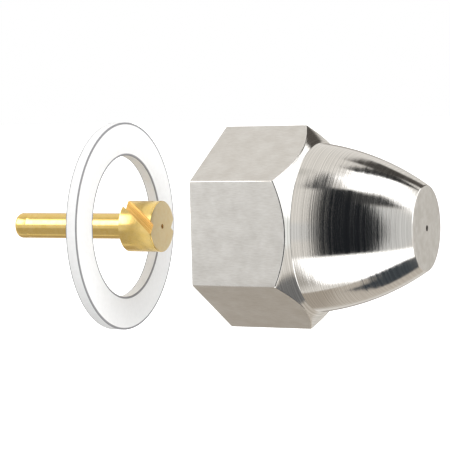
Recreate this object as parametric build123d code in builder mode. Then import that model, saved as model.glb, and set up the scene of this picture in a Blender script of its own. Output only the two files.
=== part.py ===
from build123d import *

import os
from math import ceil, cos, radians, sin, sqrt, tan

# Oil burner nozzle, laid out in its three pieces: body, swirl core and gasket.
#
# +X runs along the nozzle's axis in the direction of the spray, +Z is up. The origin is the centre
# of the body's flat back face, which the gasket seals. The core and the gasket lie behind the body,
# on its axis, in the order in which they go on. All sizes are in millimetres.

# Body, outside
hex_across_flats = 19.05
hex_corner_length = 9.5     # back face to the point where a corner meets the chamfer
chamfer_angle = 50.0        # from the axis
ogive_base_r = 9.05
ogive_bulge = 0.72          # sagitta of the ogive's arc
nose_r = 4.5
body_length = 22.8

# Body, inside: 9/16-24 thread for the adapter, then the core's bore, swirl chamber and orifice
thread_major_d = 14.3
thread_minor_d = 13.4
thread_pitch = 25.4 / 24
thread_length = 7.0
thread_angle = 60.0
entry_chamfer = 0.5
relief_width = 1.3
relief_depth = 0.1          # past the thread's root
funnel_mouth_r = 6.2
funnel_angle = 59.0         # from the axis
nose_wall = 2.6             # nose face to the seat of the core
seat_width = 0.45           # how far the seat reaches in under the core's head
orifice_d = 0.5
orifice_length = 1.0

# Swirl core
head_d = 5.7
head_length = 4.05
stem_d = 2.9
stem_length = 14.4
stem_end_chamfer = 0.45
stem_end_chamfer_length = 0.55
head_edge_break = 0.06
dimple_d = 0.55
dimple_depth = 0.14
slot_count = 2
slot_width = 1.0
slot_depth = 0.95           # at the middle of the flat floor
slot_helix_angle = 39.0     # from the axis
slot_normal_angle = 36.0    # how far the first slot's floor is turned up from -Y

# Gasket
gasket_width = 3.7          # radial
gasket_thickness = 1.25

# Fits
guide_clearance = 0.04      # radial, core head in its bore
gasket_clearance = 0.8      # radial, gasket around the adapter's thread
overcut = 1.0               # how far cutters run past a face

# Where the loose pieces lie behind the body's back face
core_front_x = -8.2
gasket_front_x = -12.6

hex_corner_r = hex_across_flats / sqrt(3)
ogive_base_x = hex_corner_length + (hex_corner_r - ogive_base_r) / tan(radians(chamfer_angle))
chamfer_outer_r = hex_corner_r + overcut
chamfer_outer_x = hex_corner_length - overcut / tan(radians(chamfer_angle))

thread_major_r = thread_major_d / 2
thread_minor_r = thread_minor_d / 2
entry_r = thread_minor_r + entry_chamfer
relief_r = thread_major_r + relief_depth
thread_end_x = entry_chamfer + thread_length
relief_end_x = thread_end_x + relief_width
groove_end_x = thread_end_x + relief_width / 2
groove_turns = ceil(groove_end_x / thread_pitch + 0.5)
groove_start_x = groove_end_x - groove_turns * thread_pitch
guide_r = head_d / 2 + guide_clearance
chamber_r = head_d / 2 - seat_width
slot_floor_r = head_d / 2 - slot_depth
gasket_inner_r = thread_major_r + gasket_clearance
guide_start_x = relief_end_x + (funnel_mouth_r - guide_r) / tan(radians(funnel_angle))
seat_x = body_length - nose_wall
orifice_start_x = body_length - orifice_length

with BuildPart() as thread_turn:
    # Cutter for one turn of the thread: a truncated V carried along a helix that starts at x = 0
    with BuildLine() as turn_path:
        Helix(pitch=thread_pitch, height=thread_pitch, radius=thread_minor_r, direction=(1, 0, 0))
    turn_start = turn_path.line @ 0
    radial = Vector(0, turn_start.Y, turn_start.Z).normalized()
    groove_depth = thread_major_r - thread_minor_r
    groove_foot = -groove_depth / 4
    root_half = thread_pitch / 16
    mouth_half = root_half + (groove_depth - groove_foot) * tan(radians(thread_angle / 2))
    with BuildSketch(Plane(origin=turn_start, x_dir=radial, z_dir=turn_path.line % 0)):
        with BuildLine():
            Polyline(
                (groove_foot, -mouth_half),
                (groove_depth, -root_half),
                (groove_depth, root_half),
                (groove_foot, mouth_half),
                close=True,
            )
        make_face()
    sweep(path=turn_path.line, is_frenet=True)

with BuildPart() as nozzle_body:
    # Hexagon with a corner straight up, cut back to the chamfer and the ogive
    with BuildSketch(Plane.YZ):
        RegularPolygon(radius=hex_corner_r, side_count=6, rotation=30)
    extrude(amount=body_length)
    with BuildSketch(Plane.XY):
        with BuildLine():
            Polyline(
                (body_length, nose_r),
                (body_length, 0),
                (0, 0),
                (0, chamfer_outer_r),
                (chamfer_outer_x, chamfer_outer_r),
                (ogive_base_x, ogive_base_r),
            )
            SagittaArc((ogive_base_x, ogive_base_r), (body_length, nose_r), ogive_bulge)
        make_face()
    revolve(axis=Axis.X, mode=Mode.INTERSECT)

    # Stepped bore from the back face to the orifice
    with BuildSketch(Plane.XY):
        with BuildLine():
            Polyline(
                (0, 0),
                (0, entry_r),
                (entry_chamfer, thread_minor_r),
                (thread_end_x, thread_minor_r),
                (thread_end_x, relief_r),
                (relief_end_x, relief_r),
                (relief_end_x, funnel_mouth_r),
                (guide_start_x, guide_r),
                (seat_x, guide_r),
                (seat_x, chamber_r),
                (orifice_start_x, orifice_d / 2),
                (body_length, orifice_d / 2),
                (body_length, 0),
                close=True,
            )
        make_face()
    revolve(axis=Axis.X, mode=Mode.SUBTRACT)

    # Thread, cut turn by turn from outside the back face into the relief
    for turn in range(groove_turns):
        with Locations((groove_start_x + turn * thread_pitch, 0, 0)):
            add(thread_turn.part, mode=Mode.SUBTRACT)
nozzle_body.part.label = "nozzle_body"

core_back_x = core_front_x - head_length
core_end_x = core_back_x - stem_length

with BuildPart() as swirl_core:
    # Head and stem turned from one bar, with a small centre mark in the front face
    with BuildSketch(Plane.XY):
        with BuildLine():
            Polyline(
                (core_end_x, 0),
                (core_end_x, stem_d / 2 - stem_end_chamfer),
                (core_end_x + stem_end_chamfer_length, stem_d / 2),
                (core_back_x, stem_d / 2),
                (core_back_x, head_d / 2 - head_edge_break),
                (core_back_x + head_edge_break, head_d / 2),
                (core_front_x - head_edge_break, head_d / 2),
                (core_front_x, head_d / 2 - head_edge_break),
                (core_front_x, dimple_d / 2),
                (core_front_x - dimple_depth, 0),
                close=True,
            )
        make_face()
    revolve(axis=Axis.X)

    # Swirl slots milled straight across the head at an angle, with flat floors
    slot_reach = head_length + head_d
    for index in range(slot_count):
        turn = radians(slot_normal_angle - index * 360 / slot_count)
        normal = Vector(0, -cos(turn), sin(turn))
        around = Vector(0, sin(turn), cos(turn))
        lean = radians(slot_helix_angle)
        along = Vector(1, 0, 0) * cos(lean) - around * sin(lean)
        slot_middle = Vector(core_back_x + head_length / 2, 0, 0)
        with BuildSketch(Plane(origin=slot_middle + normal * slot_floor_r, x_dir=along, z_dir=normal)):
            Rectangle(slot_reach, slot_width)
        extrude(amount=head_d / 2, mode=Mode.SUBTRACT)
swirl_core.part.label = "swirl_core"

with BuildPart() as gasket:
    # Flat washer
    with BuildSketch(Plane.YZ.offset(gasket_front_x - gasket_thickness)):
        Circle(gasket_inner_r + gasket_width)
        Circle(gasket_inner_r, mode=Mode.SUBTRACT)
    extrude(amount=gasket_thickness)
gasket.part.label = "gasket"

os.makedirs("parts", exist_ok=True)
export_step(nozzle_body.part, "parts/nozzle_body.step")
export_step(swirl_core.part, "parts/swirl_core.step")
export_step(gasket.part, "parts/gasket.step")
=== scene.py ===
from math import asin, atan2, cos, degrees, hypot, pi, radians, sin, tan

import bmesh
import bpy
import numpy as np
from mathutils import Matrix, Vector


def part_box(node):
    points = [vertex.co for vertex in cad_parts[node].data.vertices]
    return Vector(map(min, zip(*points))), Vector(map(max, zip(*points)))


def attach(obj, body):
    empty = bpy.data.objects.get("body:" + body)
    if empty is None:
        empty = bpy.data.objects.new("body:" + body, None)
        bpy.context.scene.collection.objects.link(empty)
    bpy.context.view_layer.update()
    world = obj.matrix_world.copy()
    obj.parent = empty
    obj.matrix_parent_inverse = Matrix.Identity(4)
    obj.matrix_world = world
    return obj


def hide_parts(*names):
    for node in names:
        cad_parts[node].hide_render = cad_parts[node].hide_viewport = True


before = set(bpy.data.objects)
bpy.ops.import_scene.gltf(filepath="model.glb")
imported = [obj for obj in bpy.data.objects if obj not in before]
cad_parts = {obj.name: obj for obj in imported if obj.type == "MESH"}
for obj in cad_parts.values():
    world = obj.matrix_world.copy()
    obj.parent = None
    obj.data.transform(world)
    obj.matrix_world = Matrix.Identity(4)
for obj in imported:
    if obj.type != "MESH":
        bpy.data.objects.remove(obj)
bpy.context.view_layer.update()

# The nozzle laid out in its three pieces. +X is the direction of the spray, +Z is up. Shapes are
# worked out in millimetres in the frame's own axes and turned into metres as each mesh is made.
MM = 0.001
rng = np.random.default_rng(7)

body_low, body_high = (np.array(corner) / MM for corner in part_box("nozzle_body"))
core_low, core_high = (np.array(corner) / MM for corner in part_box("swirl_core"))
gasket_low, gasket_high = (np.array(corner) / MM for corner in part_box("gasket"))

# Body
back_x, nose_x = body_low[0], body_high[0]
half_flats = body_high[1]
corner_r = half_flats / cos(radians(30))
corner_length = 9.5          # back face to the point where a corner meets the chamfer
chamfer_angle = radians(50)  # from the axis
ogive_base_r = 9.05
ogive_bulge = 0.72           # sagitta of the ogive's arc
nose_r = 4.5
corner_round = 0.13
back_edge_round = 0.10
chamfer_edge_round = 0.30
ogive_foot_fillet = 0.10
nose_edge_break = (0.05, 0.08)   # along the axis and radially
mark_wavelengths = (0.25, 1.3)   # turning marks of the ogive
mark_waves = 14
mark_slope = 0.0026              # greatest slope of each wave
mark_fade = 0.3                  # length over which the marks fade at both ends
# Body, inside
thread_major_r = 7.15
thread_minor_r = 6.7
thread_pitch = 25.4 / 24
thread_length = 7.0
thread_half_angle = radians(30)
thread_root_half = thread_pitch / 16
entry_chamfer = 0.5
relief_width = 1.3
relief_r = 7.25
relief_start_x = back_x + entry_chamfer + thread_length
relief_end_x = relief_start_x + relief_width
groove_end_x = relief_start_x + relief_width / 2
funnel_mouth_r = 6.2
guide_r = 2.89
funnel_angle = radians(59)
nose_wall = 2.6
chamber_r = 2.4
orifice_r = 0.25
orifice_edge_break = 0.07
orifice_length = 1.0
# Swirl core
head_r = core_high[2]
head_length = 4.05
stem_r = 1.45
stem_end_round = 0.45        # rounded end: how far in from the stem's side
stem_end_round_length = 0.55
head_edge_break = 0.06
dimple_r = 0.275
dimple_depth = 0.14
score_from_end = 1.55        # faint ring scored round the stem
score_depth = 0.008
score_half_width = 0.05
slot_width = 1.0
slot_depth = 0.95
slot_lean = radians(39)      # from the axis
slot_turn = radians(36)      # first slot's floor, turned up from -Y
# Gasket
gasket_inner_r = 7.95
gasket_edge_round = 0.05
edge_shade_width = 0.09        # width of the painted shade, a dark grey line along each cut edge, on the rims
edge_shade_fade = 0.126        # where the painted shade has faded out
edge_shade_on_face = 0.5       # how fast the painted shade fades on the faces, compared with the rims


# ---------------------------------------------------------------- meshes

def add_grid(name, points, finish, smooth_below=40):
    """Makes a closed piece from a grid of points (rows, columns, 3) in mm. Each cell is one face, and
    finish holds its material number. Points that fall together, at the seams and at the poles, are
    merged. An edge that turns by more than smooth_below degrees stays sharp."""
    rows, columns = points.shape[:2]
    index = np.arange(rows * columns).reshape(rows, columns)
    corners = [index[:-1, :-1], index[:-1, 1:], index[1:, 1:], index[1:, :-1]]
    cells = np.stack(corners, -1).reshape(-1, 4)
    mesh = bpy.data.meshes.new(name)
    mesh.from_pydata((points.reshape(-1, 3) * MM).tolist(), [], cells.tolist())
    mesh.polygons.foreach_set("material_index", finish.astype(np.int32).ravel())
    welded = bmesh.new()
    welded.from_mesh(mesh)
    bmesh.ops.remove_doubles(welded, verts=welded.verts, dist=1e-7)
    if welded.calc_volume(signed=True) < 0:
        bmesh.ops.reverse_faces(welded, faces=welded.faces)
    welded.to_mesh(mesh)
    welded.free()
    mesh.shade_smooth()
    mesh.set_sharp_from_angle(angle=radians(smooth_below))
    piece = bpy.data.objects.new(name, mesh)
    bpy.context.scene.collection.objects.link(piece)
    weighted = piece.modifiers.new("even_shading", "WEIGHTED_NORMAL")
    weighted.keep_sharp = True
    weighted.weight = 50
    return piece


def around_axis(x, r, angle):
    """Points at distance r from the X axis: (x, r cos angle, r sin angle)."""
    x, r, angle = np.broadcast_arrays(x, r, angle)
    return np.stack([x, r * np.cos(angle), r * np.sin(angle)], -1)


def arc(centre, radius, start, end, steps):
    """Points (x, r) on an arc: centre + radius * (sin a, cos a), a from start to end."""
    a = np.linspace(start, end, steps)[:, None]
    return centre[0] + radius * np.sin(a), centre[1] + radius * np.cos(a)


def line(start, end, steps):
    """Points (x, r) evenly spaced on the straight line from start to end."""
    t = np.linspace(0, 1, steps)[:, None]
    return start[0] + (end[0] - start[0]) * t, start[1] + (end[1] - start[1]) * t


def rounded_corner():
    """Distance from the axis to the centre of a corner's round, and half the angle that the round
    spans about the axis between its two points of tangency."""
    centre_r = (half_flats - corner_round) / cos(radians(30))
    half = atan2(corner_round * sin(radians(30)), centre_r + corner_round * cos(radians(30)))
    return centre_r, half


def hexagon_angles():
    """Column angles for one turn: wide steps across each flat and close ones round each corner."""
    centre_r, half = rounded_corner()
    flat = np.linspace(radians(-30) + half, radians(30) - half, 37)
    corner = np.linspace(radians(30) - half, radians(30) + half, 6)[1:-1]
    sector = np.concatenate([flat, corner])
    turns = np.arange(6)[:, None] * radians(60)
    return np.append((sector + turns).ravel(), sector[0] + 2 * pi)


def hexagon_r(angle):
    """Distance from the axis to the hexagon: half_flats / cos(t), where t is the angle from the
    middle of the nearest flat, and at a corner the far side of a circle of radius corner_round."""
    t = (angle + radians(30)) % radians(60) - radians(30)
    flat = half_flats / np.cos(t)
    centre_r, half = rounded_corner()
    s = np.clip(radians(30) - np.abs(t), 0, half)
    rounded = centre_r * np.cos(s) + np.sqrt(corner_round**2 - (centre_r * np.sin(s)) ** 2)
    return np.where(radians(30) - np.abs(t) < half, rounded, flat)


def thread_r(x, angle):
    """Distance from the axis to the thread at x: a truncated V repeated every pitch along the helix
    x = groove_end_x + pitch * (angle - 90 degrees) / (2 pi), from the root at thread_major_r down to
    the crest."""
    phase = ((x - groove_end_x) / thread_pitch - (angle - pi / 2) / (2 * pi) + 0.5) % 1.0 - 0.5
    from_root = np.maximum(np.abs(phase) * thread_pitch - thread_root_half, 0)
    return np.maximum(thread_major_r - from_root / tan(thread_half_angle), thread_minor_r)


def ogive_arc():
    """Centre and radius of the ogive's arc through its foot and its nose, from the sagitta s and the
    chord c: radius = (c*c/4 + s*s) / (2 s)."""
    foot_x = corner_length + (corner_r - ogive_base_r) / tan(chamfer_angle)
    run, drop = nose_x - foot_x, ogive_base_r - nose_r
    chord = hypot(run, drop)
    radius = (chord**2 / 4 + ogive_bulge**2) / (2 * ogive_bulge)
    inward = radius - ogive_bulge
    centre = (
        (foot_x + nose_x) / 2 - inward * drop / chord,
        (ogive_base_r + nose_r) / 2 - inward * run / chord,
    )
    return foot_x, centre, radius


def turning_marks(x):
    """Height of the marks left by the lathe tool: a sum of sines of x with seeded wavelengths, each
    with the same slope, so its height is slope * wavelength / (2 pi). They fade out at both ends."""
    waves = np.geomspace(*mark_wavelengths, mark_waves) * rng.uniform(0.9, 1.1, mark_waves)
    phases = rng.uniform(0, 2 * pi, mark_waves)
    sines = np.sin(2 * pi * x[..., None] / waves + phases)
    heights = (mark_slope * waves / (2 * pi) * sines).sum(-1)
    fade_in = np.clip((x - x.min()) / mark_fade, 0, 1)
    fade_out = np.clip((x.max() - x) / mark_fade, 0, 1)
    return heights * fade_in * fade_out


BAR, TURNED, FACED, BORED, EDGE, ORIFICE = range(6)


def body_piece():
    """The body as one closed grid: a profile (x, r) that starts at the bore's mouth, goes out over the
    back face, the hexagon, the chamfer, the ogive and the nose, and back through the orifice and the
    bore, carried round the axis. On the hexagon r also depends on the angle."""
    angle = hexagon_angles()
    hexagon = hexagon_r(angle)[None, :]
    mouth_r = thread_minor_r + entry_chamfer
    edge_x = corner_length + (corner_r - hexagon) / tan(chamfer_angle)
    tangent = chamfer_edge_round * tan(chamfer_angle / 2)
    foot_x, centre, radius = ogive_arc()

    sections = []

    def section(x_and_r, finish):
        """Adds rows of the profile. Where they don't depend on the angle they go straight round."""
        x, r = np.broadcast_arrays(*x_and_r)
        whole = (len(x), len(angle))
        sections.append((np.broadcast_to(x, whole), np.broadcast_to(r, whole), finish))

    # Back face, its rounded edge and the flats
    back_round_centre = (back_x + back_edge_round, hexagon - back_edge_round)
    section(line((back_x, mouth_r), (back_x, hexagon - back_edge_round), 6), FACED)
    section(arc(back_round_centre, back_edge_round, -pi / 2, 0, 5), EDGE)
    section(line((back_x + back_edge_round, hexagon), (edge_x - tangent, hexagon), 7), BAR)

    # Chamfer, with the round where it meets the flats and the fillet where it meets the ogive
    round_centre = (edge_x - tangent, hexagon - chamfer_edge_round)
    section(arc(round_centre, chamfer_edge_round, 0, chamfer_angle, 7), EDGE)
    foot_slope = asin((foot_x - centre[0]) / radius)
    foot_tangent = ogive_foot_fillet * tan((chamfer_angle - foot_slope) / 2)
    chamfer_end = (
        foot_x - foot_tangent * cos(chamfer_angle),
        ogive_base_r + foot_tangent * sin(chamfer_angle),
    )
    chamfer_start = (edge_x + tangent * cos(chamfer_angle), hexagon - tangent * sin(chamfer_angle))
    section(line(chamfer_start, chamfer_end, 6), TURNED)
    fillet_centre = (
        chamfer_end[0] + ogive_foot_fillet * sin(chamfer_angle),
        chamfer_end[1] + ogive_foot_fillet * cos(chamfer_angle),
    )
    section(arc(fillet_centre, -ogive_foot_fillet, chamfer_angle, foot_slope, 5), TURNED)

    # Ogive, with its turning marks, and the broken edge of the nose
    start_a = asin((foot_x + foot_tangent * cos(foot_slope) - centre[0]) / radius)
    end_a = asin((nose_x - centre[0]) / radius) - nose_edge_break[0] / radius
    ogive_x, ogive_r = arc(centre, radius, start_a, end_a, 170)
    section((ogive_x, ogive_r + turning_marks(ogive_x)), TURNED)
    ogive_end = (ogive_x[-1, 0], ogive_r[-1, 0])
    nose_rim = (nose_x, ogive_end[1] - nose_edge_break[1])
    section(line(ogive_end, nose_rim, 3), TURNED)

    # Nose face, orifice, swirl chamber, seat, core's bore, funnel and relief groove
    seat_x = nose_x - nose_wall
    chamber_end_x = nose_x - orifice_length
    guide_start_x = relief_end_x + (funnel_mouth_r - guide_r) / tan(funnel_angle)
    orifice_rim = (nose_x, orifice_r + orifice_edge_break)
    orifice_start = (nose_x - orifice_edge_break, orifice_r)
    section(line(nose_rim, orifice_rim, 10), FACED)
    section(line(orifice_rim, orifice_start, 2), ORIFICE)
    section(line(orifice_start, (chamber_end_x, orifice_r), 4), ORIFICE)
    inside = [
        (chamber_end_x, orifice_r),
        (seat_x, chamber_r),
        (seat_x, guide_r),
        (guide_start_x, guide_r),
        (relief_end_x, funnel_mouth_r),
        (relief_end_x, relief_r),
        (relief_start_x, relief_r),
    ]
    for start, end in zip(inside, inside[1:]):
        section(line(start, end, 4), BORED)

    # Thread: rows of constant phase that climb one pitch per turn, cut off at the relief and the mouth
    root = thread_root_half / thread_pitch
    crest = root + (thread_major_r - thread_minor_r) * tan(thread_half_angle) / thread_pitch
    flank = root + 0.04
    phases = np.array([-crest, -flank, -root, 0, root, flank, crest, 0.5])
    turns = int(np.ceil(groove_end_x / thread_pitch)) + 2
    start_x = groove_end_x - turns * thread_pitch
    rows = (start_x + (np.arange(turns + 2)[:, None] + phases) * thread_pitch).ravel()[::-1, None]
    x = np.clip(rows + thread_pitch * (angle - pi / 2) / (2 * pi), back_x, relief_start_x)
    r = np.maximum(thread_r(x, angle), mouth_r - (x - back_x))
    section((x, r), BORED)
    section(line((back_x, mouth_r), (back_x, mouth_r), 1), BORED)

    x = np.concatenate([s[0] for s in sections])
    r = np.concatenate([s[1] for s in sections])
    finish = np.concatenate([np.full(len(s[0]), s[2]) for s in sections])[1:, None]
    from_corner = radians(30) - np.abs((angle + radians(30)) % radians(60) - radians(30))
    worn = from_corner < 1.1 * rounded_corner()[1]
    on_corner = (worn[1:] & worn[:-1])[None, :]
    finish = np.where((finish == BAR) & on_corner, EDGE, finish)
    return add_grid("steel_body", around_axis(x, r, angle), finish)


# the slot walls' finish is painted shade: dark brown brass
TURNED_BRASS, FACED_BRASS, SLOT_FLOOR, SHADED_SLOT_WALL = range(4)
FLOOR_STEPS, WALL_STEPS, RIM_STEPS, FACE_STEPS = 9, 4, 61, 6


def head_outline(x, r):
    """Cross-section of the slotted head at stations x, for the radius r there, and the curve inside it
    that the end faces use, both as (sideways, outwards) from the axis in the first slot's frame.
    The slot spans sideways shift -+ half its width, where shift = -(x - middle) tan(lean), and its floor
    is at head_r - slot_depth. The outline is floor, wall, arc, wall, and the same turned by 180 degrees.
    The inner curve follows the floors, and between them runs from one floor's end to the next with its
    angle and its radius both changing evenly."""
    floor_r = head_r - slot_depth
    shift = -(x - (core_high[0] - head_length / 2)) * tan(slot_lean)
    half = slot_width / 2 / cos(slot_lean)
    reach = np.sqrt(r**2 - floor_r**2)
    left, right = np.clip(shift - half, -reach, reach), np.clip(shift + half, -reach, reach)
    t_floor, t_wall, t_arc = (np.linspace(0, 1, n) for n in (FLOOR_STEPS, WALL_STEPS, RIM_STEPS))

    floor = left + (right - left) * t_floor, np.broadcast_to(floor_r, (len(x), len(t_floor)))
    right_top, left_top = np.sqrt(r**2 - right**2), np.sqrt(r**2 - left**2)
    wall_up = right + 0 * t_wall, floor_r + (right_top - floor_r) * t_wall
    start, end = np.arcsin(right / r), np.arcsin(left / r) + pi
    a = start + (end - start) * t_arc
    rim = r * np.sin(a), r * np.cos(a)
    wall_down = -left + 0 * t_wall, -(left_top + (floor_r - left_top) * t_wall)
    outline = np.stack([np.concatenate(p, 1) for p in zip(floor, wall_up, rim, wall_down)], -1)

    start, end = np.arctan2(right, floor_r), np.arctan2(left, floor_r) + pi
    start_r, end_r = np.hypot(right, floor_r), np.hypot(left, floor_r)
    a, inner_r = start + (end - start) * t_arc, start_r + (end_r - start_r) * t_arc
    inner_arc = inner_r * np.sin(a), inner_r * np.cos(a)
    foot_up = right + 0 * t_wall, floor_r + 0 * right + 0 * t_wall
    foot_down = -left + 0 * t_wall, -floor_r + 0 * left + 0 * t_wall
    inner = np.stack([np.concatenate(p, 1) for p in zip(floor, foot_up, inner_arc, foot_down)], -1)
    return tuple(np.concatenate([side, -side, side[:, :1]], 1) for side in (outline, inner))


def core_piece():
    """The swirl core as one closed grid, from the mark in its front face over the head and its slots
    to the stem's end. Rows are the head's outline at each station, then circles along the stem."""
    front_x, end_x = core_high[0], core_low[0]
    head_back_x = front_x - head_length
    break_a = np.linspace(0, pi / 2, 4)
    break_x = head_edge_break * (1 - np.sin(break_a))
    break_r = head_r - head_edge_break * (1 - np.cos(break_a))
    x = np.concatenate([
        front_x - break_x[::-1],
        np.linspace(front_x - head_edge_break, head_back_x + head_edge_break, 30)[1:-1],
        head_back_x + break_x,
    ])
    r = np.concatenate([break_r[::-1], np.full(28, head_r), break_r])
    outline, inner = head_outline(x[:, None], r[:, None])

    def circle(curve, radius):
        """The curve's own directions, at one radius."""
        return curve * (radius / np.linalg.norm(curve, axis=-1, keepdims=True))

    def blend(a, b, steps):
        """Evenly spaced curves from a to b, without a itself."""
        t = np.linspace(0, 1, steps + 1)[1:, None, None]
        return a + (b - a) * t

    first, last = inner[0], inner[-1]
    mark, stem = circle(first, dimple_r), circle(last, stem_r)
    stations, curves = [], []

    def rows(station, curve):
        stations.append(np.broadcast_to(station, (len(curve),)))
        curves.append(curve)

    rows(front_x - dimple_depth, 0 * mark[None])
    rows(front_x, mark[None])
    rows(front_x, blend(mark, first, FACE_STEPS))
    rows(x, outline)
    rows(head_back_x, last[None])
    rows(head_back_x, blend(last, stem, FACE_STEPS))
    round_x, score_x = end_x + stem_end_round_length, end_x + score_from_end
    score = score_x + score_half_width * np.array([1, 0.3, -0.3, -1])
    stem_x = np.concatenate([np.linspace(head_back_x, score_x + 0.5, 20)[1:], score, [round_x]])
    in_score = np.abs(stem_x - score_x) < score_half_width / 2
    rows(stem_x, stem * (1 - np.where(in_score, score_depth / stem_r, 0))[:, None, None])
    a = np.linspace(0, pi / 2, 8)[1:]
    end_r = stem_r - stem_end_round * (1 - np.cos(a))
    rows(round_x - stem_end_round_length * np.sin(a), stem * (end_r / stem_r)[:, None, None])
    rows(end_x, blend(curves[-1][-1], 0 * stem, 4))
    station, curve = np.concatenate(stations), np.concatenate(curves)

    around = np.array([0, sin(slot_turn), cos(slot_turn)])
    outwards = np.array([0, -cos(slot_turn), sin(slot_turn)])
    points = curve[..., :1] * around + curve[..., 1:] * outwards
    points[..., 0] = station[:, None]
    on_head = (station > head_back_x - 1e-6) & (station < front_x - 1e-6)
    half_turn = np.full((points.shape[1] - 1) // 2, TURNED_BRASS)
    half_turn[:FLOOR_STEPS - 1] = SLOT_FLOOR
    half_turn[FLOOR_STEPS - 1:FLOOR_STEPS + WALL_STEPS - 1] = SHADED_SLOT_WALL
    half_turn[-WALL_STEPS:] = SHADED_SLOT_WALL
    in_head = (on_head[:-1] & on_head[1:])[:, None]
    finish = np.where(in_head, np.tile(half_turn, 2)[None, :], TURNED_BRASS)
    finish[0] = SHADED_SLOT_WALL    # the centre mark gets the slot walls' painted shade
    finish[1:FACE_STEPS + 2] = FACED_BRASS
    return add_grid("brass_core", points, finish, smooth_below=30)


def gasket_piece():
    """The gasket as one closed grid: a rectangle with rounded corners carried round the axis."""
    inner, outer = gasket_inner_r, gasket_high[1]
    back, front, e = gasket_low[0], gasket_high[0], gasket_edge_round
    corners = [
        ((front - e, outer - e), 0),
        ((front - e, inner + e), pi / 2),
        ((back + e, inner + e), pi),
        ((back + e, outer - e), 3 * pi / 2),
    ]
    arcs = [arc(centre, e, start, start + pi / 2, 5) for centre, start in corners]
    x = np.concatenate([a[0] for a in arcs] + [arcs[0][0][:1]])
    r = np.concatenate([a[1] for a in arcs] + [arcs[0][1][:1]])
    angle = np.linspace(0, 2 * pi, 241)
    finish = np.zeros((len(x) - 1, len(angle) - 1))
    return add_grid("ptfe_gasket", around_axis(x, r, angle), finish, smooth_below=50)


# ---------------------------------------------------------------- materials

class Nodes:
    """Short calls for building one node tree."""

    def __init__(self, tree):
        self.tree = tree
        tree.nodes.clear()

    def add(self, kind, inputs=(), **settings):
        """Adds a node, sets its settings, and sets or links its inputs, given as (name, value) pairs."""
        node = self.tree.nodes.new(kind)
        for name, value in settings.items():
            setattr(node, name, value)
        for name, value in dict(inputs).items():
            if isinstance(value, bpy.types.NodeSocket):
                self.tree.links.new(value, node.inputs[name])
            else:
                node.inputs[name].default_value = value
        return node

    def math(self, operation, a, b=0.0):
        return self.add("ShaderNodeMath", {0: a, 1: b}, operation=operation).outputs[0]

    def ramp(self, value, low, high, to_low=0.0, to_high=1.0, smooth=False):
        """Carries value from the span low..high to the span to_low..to_high."""
        kind = "SMOOTHSTEP" if smooth else "LINEAR"
        inputs = {"Value": value, "From Min": low, "From Max": high, "To Min": to_low, "To Max": to_high}
        return self.add("ShaderNodeMapRange", inputs, interpolation_type=kind).outputs["Result"]

    def mix(self, factor, a, b):
        node = self.add("ShaderNodeMix", {0: factor, 6: a, 7: b}, data_type="RGBA")
        return node.outputs[2]

    def noise(self, vector, size, detail=2.0, stretch=(1, 1, 1)):
        """Noise whose grains are size mm across, stretched along an axis where stretch is more."""
        scale = [1 / (size * MM * s) for s in stretch]
        mapped = self.add("ShaderNodeMapping", {"Vector": vector, "Scale": scale}).outputs[0]
        inputs = {"Vector": mapped, "Scale": 1.0, "Detail": detail}
        return self.add("ShaderNodeTexNoise", inputs).outputs["Fac"]

    def lines(self, distance, size, detail=2.0):
        """Noise that depends on one distance alone, with lines size mm apart."""
        inputs = {"W": self.math("DIVIDE", distance, size * MM), "Scale": 1.0, "Detail": detail}
        return self.add("ShaderNodeTexNoise", inputs, noise_dimensions="1D").outputs["Fac"]


def metal(name, colour, roughness, anisotropic=0.0):
    """A metal. Where it is anisotropic its tangent runs round the X axis, turned by a quarter so that
    it blurs along the axis. Returns the material, its nodes, its shader and the coordinates."""
    material = bpy.data.materials.new(name)
    material.use_nodes = True
    nodes = Nodes(material.node_tree)
    place = nodes.add("ShaderNodeTexCoord").outputs["Object"]
    shader = nodes.add("ShaderNodeBsdfPrincipled")
    shader.inputs["Base Color"].default_value = (*colour, 1)
    shader.inputs["Metallic"].default_value = 1.0
    shader.inputs["Roughness"].default_value = roughness
    shader.inputs["Anisotropic"].default_value = anisotropic
    shader.inputs["Anisotropic Rotation"].default_value = 0.25
    if anisotropic:
        tangent = nodes.add("ShaderNodeVectorMath", {0: (1, 0, 0), 1: place}, operation="CROSS_PRODUCT")
        nodes.tree.links.new(tangent.outputs[0], shader.inputs["Tangent"])
    out = nodes.add("ShaderNodeOutputMaterial")
    nodes.tree.links.new(shader.outputs[0], out.inputs["Surface"])
    return material, nodes, shader, place


def station(nodes, place):
    """Place along the X axis."""
    return nodes.add("ShaderNodeSeparateXYZ", {0: place}).outputs["X"]


def axis_distance(nodes, place):
    """Distance from the X axis: sqrt(y*y + z*z)."""
    parts = nodes.add("ShaderNodeSeparateXYZ", {0: place}).outputs
    y2 = nodes.math("MULTIPLY", parts["Y"], parts["Y"])
    z2 = nodes.math("MULTIPLY", parts["Z"], parts["Z"])
    return nodes.math("SQRT", nodes.math("ADD", y2, z2))


def finish_shader(nodes, shader, colour, roughness, height, depth_mm):
    """Links colour and roughness, and a height as bump depth_mm deep."""
    nodes.tree.links.new(colour, shader.inputs["Base Color"])
    nodes.tree.links.new(roughness, shader.inputs["Roughness"])
    bump = nodes.add("ShaderNodeBump", {"Height": height, "Strength": 1.0, "Distance": depth_mm * MM})
    nodes.tree.links.new(bump.outputs[0], shader.inputs["Normal"])


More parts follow.
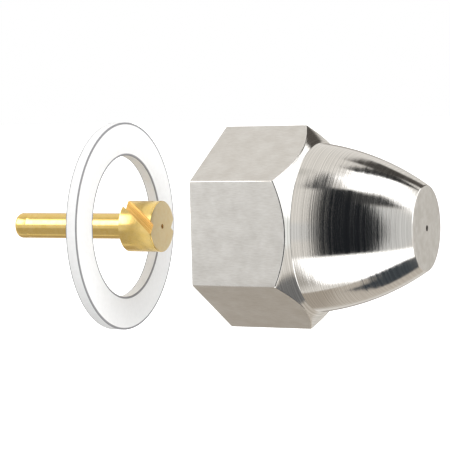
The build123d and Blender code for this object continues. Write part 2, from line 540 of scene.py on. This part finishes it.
def bar_steel():
    """Hexagon flats: satin drawn bar, with a fine grain along the bar and faint cloudy patches."""
    material, nodes, shader, place = metal("bar_steel", (0.72, 0.70, 0.67), 0.36)
    grain = nodes.noise(place, 0.10, 3, stretch=(6, 1, 1))
    clouds = nodes.noise(place, 1.6, 3)
    shade = nodes.math("ADD", nodes.math("MULTIPLY", grain, 0.5), nodes.math("MULTIPLY", clouds, 0.5))
    colour = nodes.mix(nodes.ramp(shade, 0.35, 0.65), (0.665, 0.645, 0.615, 1), (0.785, 0.775, 0.755, 1))
    rough = nodes.ramp(clouds, 0.3, 0.7, 0.32, 0.42)
    finish_shader(nodes, shader, colour, rough, grain, depth_mm=0.002)
    return material


def turned_steel():
    """Chamfer and ogive: bright turned steel. Fine lines round the axis, noise of x alone, blur
    reflections along the axis, and a weak even noise breaks the lines up."""
    material, nodes, shader, place = metal("turned_steel", (0.76, 0.745, 0.72), 0.11, anisotropic=0.6)
    x = station(nodes, place)
    fine = nodes.lines(x, 0.11, 3)
    wide = nodes.lines(x, 0.5, 2)
    torn = nodes.noise(place, 0.25, 3, stretch=(0.4, 1, 1))
    height = nodes.math("ADD", nodes.math("MULTIPLY", fine, 0.6), nodes.math("MULTIPLY", torn, 0.4))
    rough = nodes.ramp(wide, 0.3, 0.7, 0.08, 0.14)
    colour = nodes.mix(nodes.ramp(fine, 0.35, 0.65), (0.66, 0.645, 0.62, 1), (0.83, 0.815, 0.79, 1))
    finish_shader(nodes, shader, colour, rough, height, depth_mm=0.0048)
    return material


def worn_edge_steel():
    """Edges of the hexagon: the same steel, burnished bright by spanners and handling."""
    material, nodes, shader, place = metal("worn_edge_steel", (0.82, 0.81, 0.79), 0.14)
    wear = nodes.noise(place, 0.35, 3, stretch=(3, 1, 1))
    colour = nodes.mix(nodes.ramp(wear, 0.35, 0.65), (0.72, 0.705, 0.68, 1), (0.86, 0.85, 0.83, 1))
    finish_shader(nodes, shader, colour, nodes.ramp(wear, 0.3, 0.7, 0.07, 0.16), wear, depth_mm=0.004)
    return material


def orifice_painted_shade():
    """Wall of the orifice: near black and not metal, with a faint mottle: painted shade of the narrow
    hole.
    """
    material, nodes, shader, place = metal("orifice_painted_shade", (0.03, 0.026, 0.022), 0.5)
    shader.inputs["Metallic"].default_value = 0.0
    painted_shade_noise = nodes.noise(place, 0.08, 3)
    # painted shade: the hole's wall is drawn near black
    colour = nodes.mix(nodes.ramp(painted_shade_noise, 0.35, 0.65), (0.015, 0.013, 0.011, 1), (0.05, 0.043, 0.035, 1))
    finish_shader(nodes, shader, colour, nodes.ramp(painted_shade_noise, 0.3, 0.7, 0.7, 0.9), painted_shade_noise, depth_mm=0.004)
    return material


def faced_steel():
    """Nose and back face: satin, with the fine rings of a facing cut, noise of the radius alone."""
    material, nodes, shader, place = metal("faced_steel", (0.72, 0.70, 0.665), 0.34, 0.3)
    rings = nodes.lines(axis_distance(nodes, place), 0.12, 3)
    clouds = nodes.noise(place, 0.8, 3)
    colour = nodes.mix(nodes.ramp(clouds, 0.35, 0.65), (0.64, 0.625, 0.60, 1), (0.745, 0.735, 0.72, 1))
    rough = nodes.ramp(clouds, 0.3, 0.7, 0.30, 0.40)
    finish_shader(nodes, shader, colour, rough, rings, depth_mm=0.0015)
    return material


def bored_steel():
    """Bore and thread: a duller cut surface with boring-tool lines."""
    material, nodes, shader, place = metal("bored_steel", (0.66, 0.64, 0.61), 0.32, 0.4)
    tool = nodes.lines(station(nodes, place), 0.15, 3)
    clouds = nodes.noise(place, 1.2, 3)
    colour = nodes.mix(nodes.ramp(clouds, 0.35, 0.65), (0.60, 0.58, 0.55, 1), (0.70, 0.68, 0.65, 1))
    finish_shader(nodes, shader, colour, nodes.ramp(clouds, 0.3, 0.7, 0.28, 0.40), tool, depth_mm=0.002)
    return material


def turned_brass():
    """Swirl core: turned brass with fine lines round the axis and slight colour changes."""
    material, nodes, shader, place = metal("turned_brass", (0.91, 0.67, 0.29), 0.20, 0.4)
    fine = nodes.lines(station(nodes, place), 0.10, 3)
    clouds = nodes.noise(place, 0.6, 3)
    colour = nodes.mix(nodes.ramp(clouds, 0.3, 0.7), (0.89, 0.635, 0.20, 1), (0.93, 0.69, 0.27, 1))
    rough = nodes.ramp(fine, 0.3, 0.7, 0.16, 0.24)
    finish_shader(nodes, shader, colour, rough, fine, depth_mm=0.002)
    return material


def faced_brass():
    """End of the head: paler, satin from the facing cut, with rings about the centre mark."""
    material, nodes, shader, place = metal("faced_brass", (0.93, 0.77, 0.48), 0.38)
    rings = nodes.lines(axis_distance(nodes, place), 0.10, 3)
    clouds = nodes.noise(place, 0.5, 3)
    colour = nodes.mix(nodes.ramp(clouds, 0.3, 0.7), (0.91, 0.74, 0.43, 1), (0.96, 0.83, 0.56, 1))
    finish_shader(nodes, shader, colour, nodes.ramp(clouds, 0.3, 0.7, 0.32, 0.44), rings, depth_mm=0.002)
    return material


def milled_brass(name, dark, light):
    """Slots of the swirl core: freshly milled, deeper gold, with cutter lines along the slot. Its copy for
    the walls and the centre mark is much darker: painted shade.
    """
    material, nodes, shader, place = metal(name, light, 0.3)
    parts = nodes.add("ShaderNodeSeparateXYZ", {0: place}).outputs
    sideways = nodes.math("ADD", nodes.math("MULTIPLY", parts["Y"], sin(slot_turn)),
                          nodes.math("MULTIPLY", parts["Z"], cos(slot_turn)))
    across = nodes.math("ADD", nodes.math("MULTIPLY", parts["X"], sin(slot_lean)),
                        nodes.math("MULTIPLY", sideways, cos(slot_lean)))
    cutter = nodes.lines(across, 0.16, 2)
    colour = nodes.mix(nodes.ramp(cutter, 0.35, 0.65), (*dark, 1), (*light, 1))
    finish_shader(nodes, shader, colour, nodes.ramp(cutter, 0.3, 0.7, 0.24, 0.36), cutter, depth_mm=0.006)
    return material


def white_ptfe():
    """Gasket: matt white PTFE, slightly waxy, with faint mottling and skiving lines, and painted shade
    along its cut edges: dark grey by the larger of the distances to an edge's radius and to its face."""
    material = bpy.data.materials.new("white_ptfe")
    material.use_nodes = True
    nodes = Nodes(material.node_tree)
    place = nodes.add("ShaderNodeTexCoord").outputs["Object"]
    shader = nodes.add("ShaderNodeBsdfPrincipled")
    shader.inputs["IOR"].default_value = 1.36
    shader.inputs["Subsurface Weight"].default_value = 0.25
    shader.inputs["Subsurface Radius"].default_value = (0.8, 0.8, 0.8)
    shader.inputs["Subsurface Scale"].default_value = 0.3 * MM
    mottle = nodes.noise(place, 0.5, 4)
    skiving = nodes.noise(place, 0.12, 2, stretch=(1, 8, 1))
    white = nodes.mix(nodes.ramp(mottle, 0.3, 0.7), (0.91, 0.91, 0.905, 1), (0.95, 0.95, 0.947, 1))

    def nearest(value, a, b):
        """Distance in metres from value to the nearer of a and b, which are in mm."""
        offs = [nodes.math("ABSOLUTE", nodes.math("SUBTRACT", value, end * MM)) for end in (a, b)]
        return nodes.math("MINIMUM", *offs)

    on_face = nearest(axis_distance(nodes, place), gasket_inner_r, gasket_high[1])
    on_rim = nearest(station(nodes, place), gasket_low[0], gasket_high[0])
    from_edge = nodes.math("MAXIMUM", nodes.math("MULTIPLY", on_face, edge_shade_on_face), on_rim)
    painted_edge_shade = nodes.ramp(from_edge, edge_shade_fade * MM, edge_shade_width * MM)
    # painted shade: each cut edge is drawn dark grey, standing in for the shading of the gasket's outline
    colour = nodes.mix(painted_edge_shade, white, (0.28, 0.28, 0.29, 1))
    height = nodes.math("ADD", nodes.math("MULTIPLY", mottle, 0.6), nodes.math("MULTIPLY", skiving, 0.4))
    finish_shader(nodes, shader, colour, nodes.ramp(mottle, 0.3, 0.7, 0.42, 0.55), height, depth_mm=0.006)
    out = nodes.add("ShaderNodeOutputMaterial")
    nodes.tree.links.new(shader.outputs[0], out.inputs["Surface"])
    return material


# ---------------------------------------------------------------- studio

def studio_world():
    """A soft white tent, as a function of direction. Azimuth is 0 towards -Y and 90 towards +X, and
    each panel covers a span of azimuth and elevation, in degrees, with soft edges. The metals see the
    panels; matt surfaces are lit by a white that is brighter on the right, and the background is white."""
    world = bpy.data.worlds.new("studio")
    world.use_nodes = True
    bpy.context.scene.world = world
    nodes = Nodes(world.node_tree)
    direction = nodes.add("ShaderNodeTexCoord").outputs["Generated"]
    x, y, z = nodes.add("ShaderNodeSeparateXYZ", {0: direction}).outputs
    from_x = nodes.math("MULTIPLY", nodes.math("ARCTAN2", y, x), degrees(1))
    azimuth = nodes.math("ADD", from_x, 90.0)
    elevation = nodes.math("MULTIPLY", nodes.math("ARCSINE", z), degrees(1))

    def panel(below, azimuths, elevations, colour, soft=3.0):
        """Lays a panel over what is below: its mask is 1 inside both spans and falls to 0 over soft."""
        masks = []
        for value, (low, high) in ((azimuth, azimuths), (elevation, elevations)):
            off = nodes.math("ABSOLUTE", nodes.math("SUBTRACT", value, (low + high) / 2))
            half = (high - low) / 2
            masks.append(nodes.ramp(off, half + soft, half - soft, smooth=True))
        return nodes.mix(nodes.math("MULTIPLY", *masks), below, (*colour, 1))

    tent = (0.86, 0.83, 0.785, 1)
    tent = panel(tent, (-82, -12), (-78, -13), (0.48, 0.455, 0.42), 6)    # table in front
    tent = panel(tent, (190, 259), (-100, -38), (0.44, 0.39, 0.33), 10)   # table behind
    tent = panel(tent, (84, 197), (-100, -33), (0.60, 0.55, 0.485), 6)    # table on the right
    tent = panel(tent, (138, 190), (-30, 22), (0.70, 0.67, 0.62), 6)      # back of the tent
    tent = panel(tent, (193, 220), (-24, 16), (0.30, 0.27, 0.24), 6)      # gap straight behind
    tent = panel(tent, (56, 104), (-14, 14), (1.0, 1.02, 1.0), 4)         # right side of the tent
    tent = panel(tent, (-8, 78), (-82, -37), (2.0, 2.0, 2.0), 4)          # bounce below the front
    tent = panel(tent, (58, 110), (9, 84), (1.7, 1.7, 1.7), 4)            # right soft box
    tent = panel(tent, (104, 149), (24, 44), (1.7, 1.7, 1.7), 4)          # its wing towards the back
    tent = panel(tent, (30, 150), (60, 82), (1.9, 1.9, 1.9), 3)           # top soft box
    tent = panel(tent, (-76, 2), (-13, 10), (0.77, 0.768, 0.758), 5)      # left side of the tent
    tent = panel(tent, (-80, -26), (12, 46), (3.9, 3.85, 3.75), 4)        # left soft box
    tent = panel(tent, (-84, -34), (52, 82), (0.66, 0.64, 0.60), 5)       # shade above it
    tent = panel(tent, (34, 54), (-36, 40), (0.72, 0.72, 0.71), 5)        # shade beside the lens
    tent = panel(tent, (3, 37), (-36, 62), (0.015, 0.017, 0.02), 2)       # opening for the lens
    tent = panel(tent, (28, 56), (40, 58), (0.06, 0.06, 0.06), 4)         # its upper right corner
    tent = panel(tent, (-8, 16), (58, 100), (0.10, 0.10, 0.10), 3)        # gap overhead
    tent = panel(tent, (146, 172), (52, 78), (0.04, 0.04, 0.04), 2)       # gaps at the back, three
    tent = panel(tent, (162, 186), (37, 60), (0.07, 0.065, 0.06), 3)
    tent = panel(tent, (152, 178), (14, 42), (0.10, 0.09, 0.08), 3)
    tent = panel(tent, (74, 174), (-79, -58), (0.06, 0.07, 0.08), 3)      # gaps below, two
    tent = panel(tent, (88, 132), (-62, -33), (0.20, 0.20, 0.20), 4)

    rays = nodes.add("ShaderNodeLightPath").outputs
    to_right = nodes.ramp(x, 0.0, 1.0, 0.62, 1.34)
    even = nodes.add("ShaderNodeCombineColor", {0: to_right, 1: to_right, 2: to_right}).outputs[0]
    lit = nodes.mix(rays["Is Diffuse Ray"], tent, even)
    seen = nodes.mix(rays["Is Camera Ray"], lit, (1.0, 1.0, 1.0, 1))
    background = nodes.add("ShaderNodeBackground", {"Color": seen, "Strength": 1.0})
    out = nodes.add("ShaderNodeOutputWorld")
    nodes.tree.links.new(background.outputs[0], out.inputs["Surface"])


def soft_light(name, azimuth, elevation, distance, size, watts):
    """A square area light at that azimuth and elevation, distance metres from the origin and aimed
    at it. The metals don't mirror it, because the tent already gives them their reflections."""
    light = bpy.data.lights.new(name, "AREA")
    light.size = size
    light.energy = watts
    lamp = bpy.data.objects.new(name, light)
    a, e = radians(azimuth), radians(elevation)
    back = Vector((sin(a) * cos(e), -cos(a) * cos(e), sin(e)))
    lamp.location = back * distance
    lamp.rotation_mode = "QUATERNION"
    lamp.rotation_quaternion = back.to_track_quat("Z", "Y")
    lamp.visible_glossy = False
    lamp.visible_camera = False
    bpy.context.scene.collection.objects.link(lamp)


def floor_piece(z):
    """A wide pale floor at height z, in metres. It is left out of reflections and of the light that
    the matt surfaces get, which comes from the tent alone."""
    half = 3.0
    mesh = bpy.data.meshes.new("floor")
    corners = np.array([(-half, -half, z), (half, -half, z), (half, half, z), (-half, half, z)])
    mesh.from_pydata(corners.tolist(), [], [(0, 1, 2, 3)])
    floor = bpy.data.objects.new("floor", mesh)
    bpy.context.scene.collection.objects.link(floor)
    material = bpy.data.materials.new("pale_floor")
    material.use_nodes = True
    nodes = Nodes(material.node_tree)
    shader = nodes.add("ShaderNodeBsdfPrincipled", {"Base Color": (0.9, 0.9, 0.9, 1), "Roughness": 0.9})
    shader.inputs["Specular IOR Level"].default_value = 0.0
    shader.inputs["Emission Color"].default_value = (1, 1, 1, 1)
    shader.inputs["Emission Strength"].default_value = 0.75
    out = nodes.add("ShaderNodeOutputMaterial")
    nodes.tree.links.new(shader.outputs[0], out.inputs["Surface"])
    mesh.materials.append(material)
    floor.visible_glossy = False
    floor.visible_diffuse = False


def add_camera():
    """The camera looks at the middle of the layout from the front right and a little above."""
    azimuth, elevation, roll = radians(25.202), radians(3.946), radians(-1.463)
    look, distance = Vector((0, -0.991, 0.277)) * MM, 0.2
    back = Vector((sin(azimuth) * cos(elevation), -cos(azimuth) * cos(elevation), sin(elevation)))
    level_right = (-back).cross(Vector((0, 0, 1))).normalized()
    level_up = level_right.cross(-back)
    right = cos(roll) * level_right + sin(roll) * level_up
    up = cos(roll) * level_up - sin(roll) * level_right
    data = bpy.data.cameras.new("camera")
    data.sensor_width = 36
    data.lens = 146.69
    data.clip_start, data.clip_end = 0.01, 20
    camera = bpy.data.objects.new("camera", data)
    place = look + back * distance
    turned = Matrix((right, up, back)).transposed().to_4x4()
    camera.matrix_world = Matrix.Translation(place) @ turned
    bpy.context.scene.collection.objects.link(camera)
    bpy.context.scene.camera = camera


# ---------------------------------------------------------------- the scene

body = body_piece()
for make in (bar_steel, turned_steel, faced_steel, bored_steel, worn_edge_steel, orifice_painted_shade):
    body.data.materials.append(make())
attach(body, "body")
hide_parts("nozzle_body")

core = core_piece()
core.data.materials.append(turned_brass())
core.data.materials.append(faced_brass())
core.data.materials.append(milled_brass("slot_floor_brass", (0.74, 0.40, 0.09), (0.92, 0.62, 0.22)))
# painted shade: the slot walls and the centre mark are dark brown brass, for the shade in the slots and in
# the dimple
core.data.materials.append(milled_brass("slot_wall_painted_shade", (0.30, 0.14, 0.03), (0.50, 0.27, 0.07)))
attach(core, "core")
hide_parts("swirl_core")

gasket = gasket_piece()
gasket.data.materials.append(white_ptfe())
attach(gasket, "washer")
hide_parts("gasket")

studio_world()
soft_light("right_light", azimuth=66, elevation=25, distance=0.6, size=0.35, watts=1.3)
floor_piece(z=-0.030)
add_camera()
bpy.context.scene.view_settings.view_transform = "Standard"
